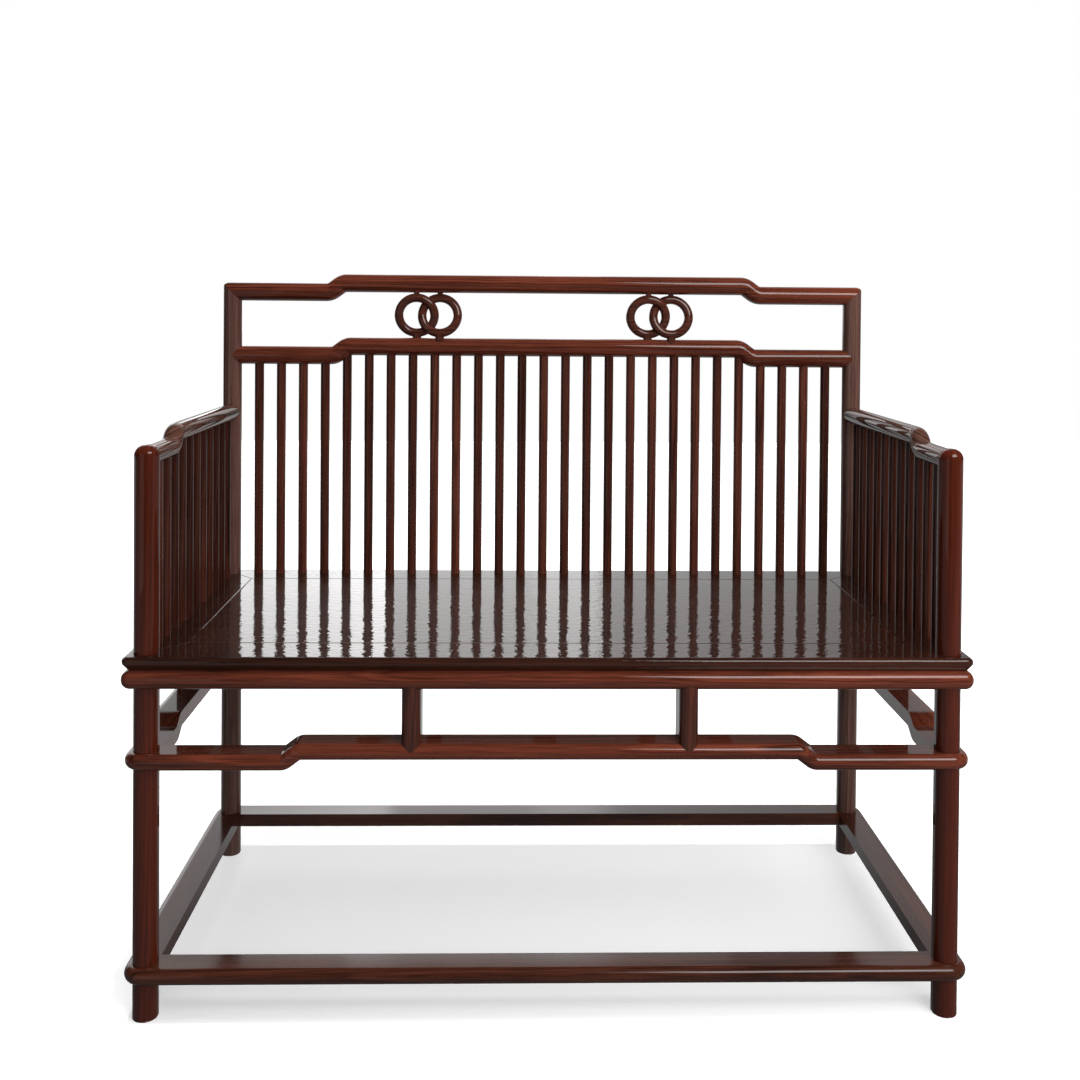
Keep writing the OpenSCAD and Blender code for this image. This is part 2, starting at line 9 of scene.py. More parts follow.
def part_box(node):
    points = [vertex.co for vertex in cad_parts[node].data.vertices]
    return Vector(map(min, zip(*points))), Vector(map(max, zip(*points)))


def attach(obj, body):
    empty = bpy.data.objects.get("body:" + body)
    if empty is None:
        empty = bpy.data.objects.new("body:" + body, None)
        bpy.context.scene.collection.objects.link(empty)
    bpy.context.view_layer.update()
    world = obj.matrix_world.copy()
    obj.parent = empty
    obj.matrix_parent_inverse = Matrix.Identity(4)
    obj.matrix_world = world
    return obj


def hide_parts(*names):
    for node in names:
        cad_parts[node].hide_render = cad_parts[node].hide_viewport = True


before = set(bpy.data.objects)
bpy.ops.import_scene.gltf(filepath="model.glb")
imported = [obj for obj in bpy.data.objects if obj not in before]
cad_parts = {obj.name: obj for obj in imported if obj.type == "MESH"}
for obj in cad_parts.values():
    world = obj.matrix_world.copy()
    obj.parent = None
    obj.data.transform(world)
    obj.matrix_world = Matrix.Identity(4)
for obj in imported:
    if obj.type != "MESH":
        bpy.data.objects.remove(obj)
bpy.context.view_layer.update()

bl_info = {
    "name": "Hardwood Bench",
    "version": (1, 0, 0),
    "blender": (4, 5, 0),
    "location": "3D View > Sidebar > Bench",
    "description": "Turns the spindles, finishes the lacquered wood and sets up the studio",
    "category": "Object",
}

BODY = "root"
MM = 0.001

# CAD pieces in groups that share a wood and the direction of its grain
FRONT_POSTS = ["front_left_leg", "front_right_leg"]
REAR_POSTS = ["rear_left_leg", "rear_right_leg"]
BACK_RAILS = ["crest_rail", "middle_back_rail"]
ARM_RAILS = ["left_arm_rail", "right_arm_rail"]
RINGS = ["left_double_ring", "right_double_ring"]
STRUTS = [
    "front_left_strut",
    "front_right_strut",
    "rear_left_strut",
    "rear_right_strut",
    "left_side_strut",
    "right_side_strut",
]
LONG_SEAT_RAILS = ["front_seat_rail", "rear_seat_rail"]
SHORT_SEAT_RAILS = ["left_seat_rail", "right_seat_rail"]
BATTENS = ["left_batten", "middle_batten", "right_batten"]
LONG_MEMBERS = [
    "front_moulding",
    "rear_moulding",
    "front_hump_stretcher",
    "rear_hump_stretcher",
]
SHORT_MEMBERS = [
    "left_moulding",
    "right_moulding",
    "left_hump_stretcher",
    "right_hump_stretcher",
]
LONG_FOOTRESTS = ["front_low_stretcher", "rear_low_stretcher"]
SHORT_FOOTRESTS = ["left_low_stretcher", "right_low_stretcher"]


def colour(code):
    """Linear RGB of an sRGB hex colour such as #4a1a10"""
    parts = [int(code[i : i + 2], 16) / 255 for i in (1, 3, 5)]
    return tuple(p / 12.92 if p <= 0.04045 else ((p + 0.055) / 1.055) ** 2.4 for p in parts)


def add(tree, kind, settings=None, inputs=None, stops=None):
    """Adds a node with its settings, its inputs and its ramp's stops; an input is a value, a
    socket, or a node, whose first output it takes"""
    item = tree.nodes.new(kind)
    for name, value in (settings or {}).items():
        setattr(item, name, value)
    for key, value in (inputs or {}).items():
        if isinstance(value, bpy.types.Node):
            value = value.outputs[0]
        if isinstance(value, bpy.types.NodeSocket):
            tree.links.new(value, item.inputs[key])
        else:
            item.inputs[key].default_value = value
    if stops:
        ramp = item.color_ramp.elements
        while len(ramp) < len(stops):
            ramp.new(1.0)
        for element, (position, shade) in zip(ramp, stops):
            element.position = position
            element.color = (*shade, 1.0)
    return item


# Sizes and colours that a user would change


class BenchSpindles(bpy.types.PropertyGroup):
    back_count: bpy.props.IntProperty(
        name="Back Spindles", description="Number of spindles in the back", default=27, min=5
    )
    arm_count: bpy.props.IntProperty(
        name="Arm Spindles", description="Number of spindles under each arm rail", default=11, min=3
    )
    diameter: bpy.props.FloatProperty(
        name="Diameter", description="Diameter of a spindle", default=14.5 * MM, unit="LENGTH"
    )
    sides: bpy.props.IntProperty(
        name="Sides", description="Facets round a spindle", default=40, min=12, max=96
    )
    seed: bpy.props.IntProperty(
        name="Seed", description="Picks each spindle's tone and grain", default=4
    )


class BenchWood(bpy.types.PropertyGroup):
    post_dark: bpy.props.FloatVectorProperty(
        name="Posts, Dark Grain", description="Darkest grain of the legs and posts",
        default=colour("#34130a"), subtype="COLOR",
    )
    post_light: bpy.props.FloatVectorProperty(
        name="Posts, Light Grain", description="Lightest grain of the legs and posts",
        default=colour("#501e11"), subtype="COLOR",
    )
    # The rear posts' grain is painted paler and greyer than the front posts': painted sheen of the
    # lacquer
    rear_dark: bpy.props.FloatVectorProperty(
        name="Rear Posts, Dark Grain", description="Darkest grain of the rear legs and posts",
        default=colour("#37211b"), subtype="COLOR",
    )
    rear_light: bpy.props.FloatVectorProperty(
        name="Rear Posts, Light Grain", description="Lightest grain of the rear legs and posts",
        default=colour("#654840"), subtype="COLOR",
    )
    rail_dark: bpy.props.FloatVectorProperty(
        name="Rails, Dark Grain", description="Darkest grain of rails, mouldings and stretchers",
        default=colour("#2e130c"), subtype="COLOR",
    )
    rail_light: bpy.props.FloatVectorProperty(
        name="Rails, Light Grain", description="Lightest grain of rails, mouldings and stretchers",
        default=colour("#6e3525"), subtype="COLOR",
    )
    # The low stretchers' grain is painted darker than the other rails': painted shade low down under
    # the seat
    low_dark: bpy.props.FloatVectorProperty(
        name="Low Stretchers, Dark Grain", description="Darkest grain of the low stretchers",
        default=colour("#1f0d08"), subtype="COLOR",
    )
    low_light: bpy.props.FloatVectorProperty(
        name="Low Stretchers, Light Grain", description="Lightest grain of the low stretchers",
        default=colour("#4e281c"), subtype="COLOR",
    )
    spindle_dark: bpy.props.FloatVectorProperty(
        name="Spindles, Dark Grain", description="Darkest grain of spindles, rings and struts",
        default=colour("#27120d"), subtype="COLOR",
    )
    spindle_light: bpy.props.FloatVectorProperty(
        name="Spindles, Light Grain", description="Lightest grain of spindles, rings and struts",
        default=colour("#562c20"), subtype="COLOR",
    )
    seat_dark: bpy.props.FloatVectorProperty(
        name="Seat, Dark Grain", description="Darkest grain of the seat frame and panel",
        default=colour("#120806"), subtype="COLOR",
    )
    seat_light: bpy.props.FloatVectorProperty(
        name="Seat, Light Grain", description="Lightest grain of the seat frame and panel",
        default=colour("#2e160e"), subtype="COLOR",
    )
    # The arm rails' light grain is a pale pinkish grey: partly the wood's bold figure, partly a
    # painted reflection of the lacquer's sheen on their tops
    arm_dark: bpy.props.FloatVectorProperty(
        name="Arm Rails, Dark Grain", description="Darkest grain of the arm rails",
        default=colour("#1d0e0a"), subtype="COLOR",
    )
    arm_light: bpy.props.FloatVectorProperty(
        name="Arm Rails, Light Grain", description="Lightest grain of the arm rails",
        default=colour("#624237"), subtype="COLOR",
    )
    ring_width: bpy.props.FloatProperty(
        name="Growth Ring Width", description="Usual width of a growth ring in the wood",
        default=3.2 * MM, unit="LENGTH",
    )
    coat_roughness: bpy.props.FloatProperty(
        name="Lacquer Roughness", description="Roughness of the gloss lacquer",
        default=0.03, min=0.0, max=1.0, subtype="FACTOR",
    )
    worn_roughness: bpy.props.FloatProperty(
        name="Worn Lacquer Roughness", description="Roughness of the lacquer on the low stretchers",
        default=0.13, min=0.0, max=1.0, subtype="FACTOR",
    )


class BenchStage(bpy.types.PropertyGroup):
    key_power: bpy.props.FloatProperty(
        name="Key Lamp", description="Power of the softbox in front, on the right",
        default=26.0, unit="POWER",
    )
    fill_power: bpy.props.FloatProperty(
        name="Fill Lamp", description="Power of the lamp in front", default=26.0, unit="POWER"
    )
    side_power: bpy.props.FloatProperty(
        name="Side Lamp", description="Power of the lamp on the right that leaves no highlight",
        default=22.0, unit="POWER",
    )
    back_power: bpy.props.FloatProperty(
        name="Back Lamp", description="Power of the soft lamp behind the bench",
        default=22.0, unit="POWER",
    )
    top_power: bpy.props.FloatProperty(
        name="Top Lamp", description="Power of the soft lamp above the front",
        default=44.0, unit="POWER",
    )
    strip_power: bpy.props.FloatProperty(
        name="Side Strip", description="Power of the low panel in front, which the lacquer mirrors",
        default=1.8, unit="POWER",
    )
    window: bpy.props.FloatProperty(
        name="Window", description="Power of the panel behind on the left, which the lacquer mirrors",
        default=1.25, unit="POWER",
    )
    ambient: bpy.props.FloatProperty(
        name="Ambient", description="Even light from all around", default=0.06
    )
    top_strength: bpy.props.FloatProperty(
        name="Overhead Lamps", description="Strength of each of the two lamps far above",
        default=0.9,
    )
    backdrop: bpy.props.FloatProperty(
        name="Backdrop", description="Brightness of the white backdrop that the wood mirrors",
        default=1.8,
    )
    floor_mirror: bpy.props.FloatProperty(
        name="Mirrored Floor", description="Brightness of the floor behind the bench in the lacquer",
        default=0.5,
    )
    shadow_lift: bpy.props.FloatProperty(
        name="Floor Lift", description="Light that the camera sees on the floor beside the lamps'",
        default=0.37,
    )


# Geometry


def spindle_row_tree():
    """Geometry Nodes tree of one row of spindles whose tops follow a stepped rail"""
    tree = bpy.data.node_groups.new("Spindle Row", "GeometryNodeTree")
    tree.interface.new_socket("Geometry", in_out="OUTPUT", socket_type="NodeSocketGeometry")
    for label, kind in [
        ("Count", "NodeSocketInt"),
        ("Start", "NodeSocketVector"),
        ("Step", "NodeSocketVector"),
        ("Diameter", "NodeSocketFloat"),
        ("Sides", "NodeSocketInt"),
        ("Low Length", "NodeSocketFloat"),
        ("Rise", "NodeSocketFloat"),
        ("Middle", "NodeSocketVector"),
        ("High Until", "NodeSocketFloat"),
        ("Low From", "NodeSocketFloat"),
        ("Seed", "NodeSocketInt"),
        ("Wood", "NodeSocketMaterial"),
    ]:
        tree.interface.new_socket(label, in_out="INPUT", socket_type=kind)
    size = add(tree, "NodeGroupInput").outputs

    line = add(tree, "GeometryNodeMeshLine", {"mode": "OFFSET"},
               {"Count": size["Count"], "Start Location": size["Start"], "Offset": size["Step"]})
    place = add(tree, "GeometryNodeInputPosition")
    away = add(tree, "ShaderNodeVectorMath", {"operation": "DISTANCE"},
               {0: place, 1: size["Middle"]}).outputs["Value"]
    rise = add(tree, "ShaderNodeMapRange", {"interpolation_type": "SMOOTHSTEP"},
               {"Value": away, "From Min": size["High Until"], "From Max": size["Low From"],
                "To Min": size["Rise"], "To Max": 0.0})
    length = add(tree, "ShaderNodeMath", {"operation": "ADD"}, {0: size["Low Length"], 1: rise})
    stretch = add(tree, "ShaderNodeCombineXYZ", None, {"X": 1.0, "Y": 1.0, "Z": length})

    # A rod one metre long that stands on its row's line, to be stretched to its length
    radius = add(tree, "ShaderNodeMath", {"operation": "MULTIPLY"}, {0: size["Diameter"], 1: 0.5})
    rod = add(tree, "GeometryNodeMeshCylinder", None,
              {"Vertices": size["Sides"], "Radius": radius, "Depth": 1.0})
    smooth = add(tree, "GeometryNodeSetShadeSmooth", None,
                 {"Geometry": rod.outputs["Mesh"], "Selection": rod.outputs["Side"]})
    raised = add(tree, "GeometryNodeTransform", None,
                 {"Geometry": smooth, "Translation": (0.0, 0.0, 0.5)})
    rods = add(tree, "GeometryNodeInstanceOnPoints", None,
               {"Points": line, "Instance": raised, "Scale": stretch})

    # Each rod is cut from another place of the log, and has a tone of its own
    tone = add(tree, "FunctionNodeRandomValue", {"data_type": "FLOAT"}, {"Seed": size["Seed"]})
    toned = add(tree, "GeometryNodeStoreNamedAttribute",
                {"data_type": "FLOAT", "domain": "INSTANCE"},
                {"Geometry": rods, "Name": "tone", "Value": tone.outputs["Value"]})
    shift = add(tree, "FunctionNodeRandomValue", {"data_type": "FLOAT_VECTOR"},
                {"Min": (-0.3, -0.3, -0.3), "Max": (0.3, 0.3, 0.3), "Seed": size["Seed"]})
    shifted = add(tree, "GeometryNodeStoreNamedAttribute",
                  {"data_type": "FLOAT_VECTOR", "domain": "INSTANCE"},
                  {"Geometry": toned, "Name": "grain_shift", "Value": shift.outputs["Value"]})

    # The rims stay sharp: an edge that turns by more than a radian is one of them
    real = add(tree, "GeometryNodeRealizeInstances", None, {"Geometry": shifted})
    bend = add(tree, "GeometryNodeInputMeshEdgeAngle").outputs["Unsigned Angle"]
    rims = add(tree, "FunctionNodeCompare", {"operation": "GREATER_THAN"}, {0: bend, 1: 1.0})
    creased = add(tree, "GeometryNodeSetShadeSmooth", {"domain": "EDGE"},
                  {"Geometry": real, "Selection": rims, "Shade Smooth": False})
    wooden = add(tree, "GeometryNodeSetMaterial", None,
                 {"Geometry": creased, "Material": size["Wood"]})
    add(tree, "NodeGroupOutput", None, {"Geometry": wooden})
    return tree


def grown(name, tree, values):
    """Plain mesh object of a Geometry Nodes tree with these values for its named inputs"""
    carrier = bpy.data.objects.new(name + "_carrier", bpy.data.meshes.new(name + "_carrier"))
    bpy.context.collection.objects.link(carrier)
    modifier = carrier.modifiers.new("Row", "NODES")
    modifier.node_group = tree
    for item in tree.interface.items_tree:
        if item.in_out == "INPUT":
            modifier[item.identifier] = values[item.name]
    bpy.context.view_layer.update()
    graph = bpy.context.evaluated_depsgraph_get()
    mesh = bpy.data.meshes.new_from_object(carrier.evaluated_get(graph))
    mesh.name = name
    piece = bpy.data.objects.new(name, mesh)
    bpy.context.collection.objects.link(piece)
    bpy.data.objects.remove(carrier)
    if not mesh.polygons:
        raise RuntimeError(name + " came out empty")
    return piece


# Wood

# Turns that bring a piece's grain to the pattern's Z
GRAIN_TURN = {"x": (0.0, -math.pi / 2, 0.0), "y": (math.pi / 2, 0.0, 0.0), "z": (0.0, 0.0, 0.0)}
# Sizes of the wood's patterns in millimetres: twice across the grain, and along it. Streaks are
# twice as coarse as real pores, so that they show
WANDER = (30, 30, 250)
STREAKS = (1.6, 1.6, 70)
CLOUDS = (60, 60, 300)
SWELLS = (8, 8, 13)
# Millimetres that a growth ring would wander from the noise's lowest to its highest level
WANDER_REACH = 14.0
# Share of the clouds in the figure, beside the rings and the streaks
CLOUD_SHARE = 0.25
# Height of the seat lacquer's swells, depth of its joint lines, and the depths below the seat's
# top between which the colour is painted up to 2.4 times lighter: painted light on the faces
# of the beaded edge
SEAT_SWELL = 0.25 * MM
SEAM_DEPTH = 0.3 * MM
PAINTED_EDGE_START, PAINTED_EDGE_END = 2 * MM, 8 * MM


def lumps(tree, laid, size, detail=2.0, roughness=0.5):
    """Noise whose lumps have this size in millimetres"""
    at = add(tree, "ShaderNodeVectorMath", {"operation": "MULTIPLY"},
             {0: laid, 1: tuple(1 / length for length in size)})
    return add(tree, "ShaderNodeTexNoise", None,
               {"Vector": at, "Scale": 1.0, "Detail": detail, "Roughness": roughness})


def along_grain(tree, grain, pith, slant, per_rod):
    """Place in millimetres from the pith, with the grain along Z"""
    where = add(tree, "ShaderNodeTexCoord").outputs["Object"]
    if per_rod:
        shift = add(tree, "ShaderNodeAttribute", {"attribute_name": "grain_shift"})
        where = add(tree, "ShaderNodeVectorMath", {"operation": "ADD"},
                    {0: where, 1: shift.outputs["Vector"]})
    turned = add(tree, "ShaderNodeMapping", None,
                 {"Vector": where, "Scale": (1 / MM,) * 3, "Rotation": GRAIN_TURN[grain]})
    return add(tree, "ShaderNodeMapping", None,
               {"Vector": turned, "Rotation": (slant, -slant * 0.6, 0.0), "Location": pith})


def wood_figure(tree, laid, streaks, ring_width, bold):
    """Growth rings that wander by about 5 mm, dark streaks and broad clouds, as one level"""
    wander = lumps(tree, laid, WANDER, detail=3.0)
    across = add(tree, "ShaderNodeVectorMath", {"operation": "MULTIPLY"},
                 {0: laid, 1: (1.0, 1.0, 0.0)})
    radius = add(tree, "ShaderNodeVectorMath", {"operation": "LENGTH"}, {0: across}).outputs["Value"]
    wandered = add(tree, "ShaderNodeMath", {"operation": "MULTIPLY_ADD"},
                   {0: wander, 1: WANDER_REACH, 2: radius})
    ring_at = add(tree, "ShaderNodeMath", {"operation": "DIVIDE"},
                  {0: wandered, 1: ring_width / MM})
    rings = add(tree, "ShaderNodeTexNoise", {"noise_dimensions": "1D"},
                {"W": ring_at, "Scale": 1.0, "Detail": 2.0, "Roughness": 0.6})
    clouds = lumps(tree, laid, CLOUDS, detail=1.0)
    figure = add(tree, "ShaderNodeMath", {"operation": "MULTIPLY"}, {0: rings, 1: bold})
    figure = add(tree, "ShaderNodeMath", {"operation": "MULTIPLY_ADD"},
                 {0: streaks, 1: 1 - CLOUD_SHARE - bold, 2: figure})
    return add(tree, "ShaderNodeMath", {"operation": "MULTIPLY_ADD"},
               {0: clouds, 1: CLOUD_SHARE, 2: figure})


def rosewood(name, dark, light, grain, pith, tone=1.0, slant=0.012, bold=0.4, gloss=None,
             seam=None, per_rod=False):
    """Lacquered rosewood: growth rings round a pith that lies off the piece, dark pores along the
    grain and a clear gloss coat, which gives brown streaks under sharp white reflections"""
    wood = bpy.context.scene.bench_wood
    material = bpy.data.materials.new(name)
    material.use_nodes = True
    tree = material.node_tree
    tree.nodes.clear()

    laid = along_grain(tree, grain, pith, slant, per_rod)
    streaks = lumps(tree, laid, STREAKS, roughness=0.6)
    figure = wood_figure(tree, laid, streaks, wood.ring_width, bold)
    middle = tuple(0.55 * deep + 0.45 * pale for deep, pale in zip(dark, light))
    shade = add(tree, "ShaderNodeValToRGB", None, {"Fac": figure},
                [(0.36, dark), (0.5, middle), (0.66, light)])
    level = tone
    if per_rod:
        rod_tone = add(tree, "ShaderNodeAttribute", {"attribute_name": "tone"}).outputs["Fac"]
        level = add(tree, "ShaderNodeMapRange", None,
                    {"Value": rod_tone, "To Min": 0.7 * tone, "To Max": 1.35 * tone})
    shade = add(tree, "ShaderNodeVectorMath", {"operation": "SCALE"}, {0: shade, "Scale": level})

    dull = add(tree, "ShaderNodeMapRange", None, {"Value": streaks, "To Min": 0.34, "To Max": 0.52})
    pores = add(tree, "ShaderNodeBump", None,
                {"Strength": 0.25, "Distance": 0.1 * MM, "Height": streaks})
    coat = {"Coat Weight": 1.0, "Coat IOR": 1.5, "Coat Roughness": gloss or wood.coat_roughness}
    if seam:
        coat["Coat Normal"], joints_and_painted_edge = seat_lacquer_and_painted_edge(tree, laid, seam)
        # The seat's colour takes its dark joint lines and the painted light on its beaded edge
        shade = add(tree, "ShaderNodeVectorMath", {"operation": "SCALE"},
                    {0: shade, "Scale": joints_and_painted_edge})
    surface = add(tree, "ShaderNodeBsdfPrincipled", None,
                  {"Base Color": shade, "Roughness": dull, "Normal": pores, "IOR": 1.5,
                   "Specular IOR Level": 0.02, **coat})
    add(tree, "ShaderNodeOutputMaterial", None, {"Surface": surface})
    return material


def seat_lacquer_and_painted_edge(tree, laid, seam):
    """Normal of the seat's brushed lacquer and level of its colour, from the low and high corner of
    the panel's top face: the joint lines are dark, and the beaded edge is drawn lighter than the
    top as painted light"""
    low, high = seam
    where = add(tree, "ShaderNodeTexCoord").outputs["Object"]
    away = add(tree, "ShaderNodeVectorMath", {"operation": "SUBTRACT"},
               {0: where, 1: (low + high) / 2})
    away = add(tree, "ShaderNodeVectorMath", {"operation": "ABSOLUTE"}, {0: away})
    past = add(tree, "ShaderNodeVectorMath", {"operation": "SUBTRACT"},
               {0: away, 1: (high - low) / 2})
    past = add(tree, "ShaderNodeSeparateXYZ", None, {0: past}).outputs

    # How far away the panel's edge is, and past its corners the mitre
    edge = add(tree, "ShaderNodeMath", {"operation": "MAXIMUM"}, {0: past["X"], 1: past["Y"]})
    edge = add(tree, "ShaderNodeMath", {"operation": "ABSOLUTE"}, {0: edge})
    inside = add(tree, "ShaderNodeMath", {"operation": "MINIMUM"}, {0: past["X"], 1: past["Y"]})
    inside = add(tree, "ShaderNodeMath", {"operation": "MULTIPLY"}, {0: inside, 1: -1.0})
    inside = add(tree, "ShaderNodeMath", {"operation": "MAXIMUM"}, {0: inside, 1: 0.0})
    mitre = add(tree, "ShaderNodeMath", {"operation": "SUBTRACT"}, {0: past["X"], 1: past["Y"]})
    mitre = add(tree, "ShaderNodeMath", {"operation": "ABSOLUTE"}, {0: mitre})
    mitre = add(tree, "ShaderNodeMath", {"operation": "ADD"}, {0: mitre, 1: inside})
    gap = add(tree, "ShaderNodeMath", {"operation": "MINIMUM"}, {0: edge, 1: mitre})

    # Joint lines are drawn 3 mm wide in the lacquer and 1.2 mm wide in the colour, so that they show
    line = add(tree, "ShaderNodeMapRange", {"interpolation_type": "SMOOTHSTEP"},
               {"Value": gap, "From Max": 1.5 * MM})
    swell = lumps(tree, laid, SWELLS)
    skin = add(tree, "ShaderNodeBump", None,
               {"Strength": 1.0, "Distance": SEAT_SWELL, "Height": swell})
    skin = add(tree, "ShaderNodeBump", None,
               {"Strength": 1.0, "Distance": SEAM_DEPTH, "Height": line, "Normal": skin})
    dark_line = add(tree, "ShaderNodeMapRange", None,
                    {"Value": gap, "From Max": 0.6 * MM, "To Min": 0.2})
    height = add(tree, "ShaderNodeSeparateXYZ", None, {0: where}).outputs["Z"]
    # Painted light: the beaded edge's faces below the top are drawn up to 2.4 times lighter
    painted_edge_light = add(tree, "ShaderNodeMapRange", None,
               {"Value": height, "From Min": high.z - PAINTED_EDGE_END, "From Max": high.z - PAINTED_EDGE_START,
                "To Min": 2.4, "To Max": 1.0})
    joints_and_painted_edge = add(tree, "ShaderNodeMath", {"operation": "MULTIPLY"}, {0: painted_edge_light, 1: dark_line})
    return skin, joints_and_painted_edge


def dress(names, kind, grain, **more):
    """Gives CAD pieces their wood, each cut from another place of the log and a little paler or
    darker than the next"""
    wood = bpy.context.scene.bench_wood
    dark, light = tuple(getattr(wood, kind + "_dark")), tuple(getattr(wood, kind + "_light"))
    for number, name in enumerate(names):
        pith = (38.0 + 17.0 * number, -27.0 - 13.0 * number, 531.0 * (number + 1))
        tone = 1.0 + 0.09 * math.sin(2.4 * number + len(name))
        material = rosewood("lacquered_rosewood_" + name, dark, light, grain, pith, tone, **more)
        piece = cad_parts[name]
        piece.data.materials.clear()
        piece.data.materials.append(material)


# Operators


# Stepped rails over the spindles: how far from the middle of their raised part they are at full
# height, where they are low again, and how much they rise
BACK_STEP = (302 * MM, 358 * MM, 14.9 * MM)
ARM_STEP = (306 * MM, 346 * MM, 16.4 * MM)
# An arm rail is at full height at the back posts, so its raised part is measured from there
ARM_RAIL_END = 217.5 * MM


class BENCH_OT_spindles(bpy.types.Operator):
    """Makes the three rows of spindles"""

    bl_idname = "bench.spindles"
    bl_label = "Make Spindles"

    def execute(self, context):
        size, wood = context.scene.bench_spindles, context.scene.bench_wood
        # The arm spindles are drawn at 0.6 of the back spindles' tone: painted shade under the arm
        # rails
        back_rods, arm_rods = (
            rosewood("turned_rosewood_" + row, tuple(wood.spindle_dark), tuple(wood.spindle_light),
                     "z", (21.0, -13.0, 0.0), tone=tone, per_rod=True)
            for row, tone in [("back_spindles", 1.0), ("arm_spindles", 0.6)]
        )
        tree = spindle_row_tree()
        x, y = Vector((1, 0, 0)), Vector((0, 1, 0))
        for node, along, count, origin, stepped, rods in [
            ("back_spindles", x, size.back_count, 0.0, BACK_STEP, back_rods),
            ("left_arm_spindles", y, size.arm_count, ARM_RAIL_END, ARM_STEP, arm_rods),
            ("right_arm_spindles", y, size.arm_count, ARM_RAIL_END, ARM_STEP, arm_rods),
        ]:
            low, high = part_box(node)
            foot = Vector(((low.x + high.x) / 2, (low.y + high.y) / 2, low.z))
            span = (high - low).dot(along) - size.diameter
            high_until, low_from, rise = stepped
            piece = grown(node + "_turned", tree, {
                "Count": count, "Start": tuple(foot - along * span / 2),
                "Step": tuple(along * span / (count - 1)),
                "Diameter": size.diameter, "Sides": size.sides,
                "Low Length": high.z - low.z - rise, "Rise": rise,
                "Middle": tuple(foot + along * (origin - foot.dot(along))),
                "High Until": high_until, "Low From": low_from,
                "Seed": size.seed + len(node), "Wood": rods,
            })
            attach(piece, BODY)
            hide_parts(node)
        return {"FINISHED"}


class BENCH_OT_posts(bpy.types.Operator):
    """Finishes the four legs with their posts"""

    bl_idname = "bench.posts"
    bl_label = "Finish Legs and Posts"

    def execute(self, context):
        dress(FRONT_POSTS, "post", "z")
        # The rear legs' paler, greyer colours paint the lacquer's sheen
        dress(REAR_POSTS, "rear", "z")
        return {"FINISHED"}


class BENCH_OT_rails(bpy.types.Operator):
    """Finishes the crest rail, the middle rail and the arm rails"""

    bl_idname = "bench.rails"
    bl_label = "Finish Rails"

    def execute(self, context):
        dress(BACK_RAILS, "rail", "x")
        # Bold rings with pale grey light grain: the wood's figure and a painted reflection of the
        # lacquer
        dress(ARM_RAILS, "arm", "y", slant=0.05, bold=0.6)
        return {"FINISHED"}


class BENCH_OT_rings_and_struts(bpy.types.Operator):
    """Finishes the double rings and the struts"""

    bl_idname = "bench.rings_and_struts"
    bl_label = "Finish Rings and Struts"

    def execute(self, context):
        dress(RINGS, "spindle", "x")
        dress(STRUTS, "spindle", "z")
        return {"FINISHED"}


class BENCH_OT_seat(bpy.types.Operator):
    """Finishes the seat frame, its panel and the battens under it"""

    bl_idname = "bench.seat"
    bl_label = "Finish Seat"

    def execute(self, context):
        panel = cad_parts["seat_panel"]
        places = [panel.matrix_world @ vertex.co for vertex in panel.data.vertices]
        top = max(place.z for place in places)
        face = [place for place in places if place.z > top - 0.1 * MM]
        low, high = (
            Vector((pick(place.x for place in face), pick(place.y for place in face), top))
            for pick in (min, max)
        )
        dress(LONG_SEAT_RAILS + ["seat_panel"], "seat", "x", seam=(low, high))
        dress(SHORT_SEAT_RAILS, "seat", "y", seam=(low, high))
        dress(BATTENS, "seat", "y")
        return {"FINISHED"}


class BENCH_OT_stretchers(bpy.types.Operator):
    """Finishes the mouldings and the stretchers that wrap round the legs"""

    bl_idname = "bench.stretchers"
    bl_label = "Finish Mouldings and Stretchers"

    def execute(self, context):
        dress(LONG_MEMBERS, "rail", "x")
        dress(SHORT_MEMBERS, "rail", "y")
        # Feet rest on the low stretchers and have dulled their lacquer
        worn = context.scene.bench_wood.worn_roughness
        # Their darker colours are painted shade under the seat
        dress(LONG_FOOTRESTS, "low", "x", gloss=worn)
        dress(SHORT_FOOTRESTS, "low", "y", gloss=worn)
        return {"FINISHED"}


# Mirrored floor from 4 m in front of the bench to 2 m behind it: place from 0 to 1, and brightness
FLOOR_SPAN = (-4.0, 2.0)
FLOOR_LEVELS = [(0.1, 0.04), (0.45, 0.4), (0.62, 0.3), (0.66, 0.2), (0.7, 0.5), (0.76, 1.0)]
# Paper behind the bench from left to right: place from 0 to 1, and brightness
PAPER_LEVELS = [(0.12, 0.8), (0.15, 0.4), (0.25, 0.4), (0.36, 0.78), (0.522, 0.78), (0.532, 1.0),
                (0.587, 0.95), (0.598, 0.53), (0.69, 0.42), (0.82, 0.3), (0.94, 0.22)]
OVERHEAD_SPREAD = 0.03
# Camera fitted to the photograph: sensor in millimetres, then the photograph's width, the focal
# length and the row that the camera looks at straight, in its pixels
SENSOR, PHOTO_WIDTH, FOCAL_LENGTH, AXIS_ROW = 36, 1080, 1158.5877, 323.8579
YAW, PITCH, ROLL = -0.0221, 0.0140, -0.0078
CAMERA_PLACE = (-0.0481334, -1.6611461, 0.8867677)


def lamp(name, kind, place, target, power, size=(1.0, 1.0), glossy=True, diffuse=True, shadow=True):
    """Adds a lamp that the camera doesn't see"""
    light = bpy.data.lights.new(name, kind)
    light.energy = power
    light.use_shadow = shadow
    if kind == "AREA":
        light.shape = "RECTANGLE"
        light.size, light.size_y = size
    else:
        light.angle = OVERHEAD_SPREAD
    item = bpy.data.objects.new(name, light)
    bpy.context.collection.objects.link(item)
    item.location = place
    item.rotation_euler = (Vector(target) - Vector(place)).to_track_quat("-Z", "Y").to_euler()
    item.visible_camera = False
    item.visible_glossy = glossy
    item.visible_diffuse = diffuse
    return item


